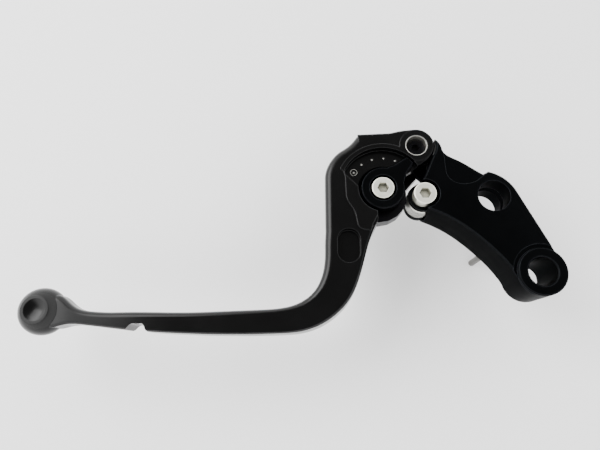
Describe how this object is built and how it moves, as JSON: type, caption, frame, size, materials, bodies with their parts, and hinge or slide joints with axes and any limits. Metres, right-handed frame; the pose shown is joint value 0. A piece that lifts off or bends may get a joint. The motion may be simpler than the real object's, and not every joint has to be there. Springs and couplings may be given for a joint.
{
  "type": "clutch lever",
  "caption": "Adjustable motorcycle clutch lever: black blade with a finger ball, hinged on an adapter, with a cam adjuster bearing on a stop roller",
  "frame": {"origin": "centre of the main pivot bore, at the middle of its length", "axes": "+Z along the main pivot bore towards the side that carries the screw heads, +X from the finger ball towards the main pivot, +Y away from the handlebar"},
  "size_m": [0.205, 0.0789, 0.035],
  "materials": {
    "black_anodised_gloss": "gloss",
    "black_anodised_satin": "satin",
    "bright_steel": "satin",
    "black_oxide_steel": "satin",
    "bearing_bronze": "satin"
  },
  "bodies": {
    "adapter": {"adapter": "black_anodised_satin", "switch_pin": "bright_steel", "roller_screw": "bright_steel", "roller_sleeve": "bearing_bronze", "roller_spacer": "bright_steel", "pivot_bearing": "bearing_bronze", "upper_thrust_washer": "bearing_bronze", "lower_thrust_washer": "bearing_bronze", "return_spring": "bright_steel"},
    "blade": {"blade": "black_anodised_gloss", "pivot_cup": "bright_steel", "pivot_screw": "black_oxide_steel", "pivot_nut": "bright_steel", "adjuster_screw": "bright_steel", "adjuster_sleeve": "bright_steel", "adjuster_nut": "bright_steel", "adjuster_spring_washer": "bright_steel"},
    "adjuster": {"adjuster_dial": "black_anodised_satin", "adjuster_cam": "black_oxide_steel"},
    "stop_roller": {"stop_roller": "bright_steel"}
  },
  "joints": [
    {"name": "blade_swing", "type": "hinge", "parent": "adapter", "child": "blade", "pos_m": [-0.0419, 0.0502, 0], "axis": [0, 0, 1], "range_deg": [-7.5, 0]},
    {"name": "adjuster_turn", "type": "hinge", "parent": "blade", "child": "adjuster", "pos_m": [-0.0555, 0.033, 0], "axis": [0, 0, 1], "range_deg": [0, 100]},
    {"name": "roller_spin", "type": "hinge", "parent": "adapter", "child": "stop_roller", "pos_m": [-0.0398, 0.0304, 0], "axis": [0, 0, 1], "continuous": true}
  ],
  "couplings": [
    {"joint": "adjuster_turn", "follows": "blade_swing", "ratio": -13.333}
  ]
}
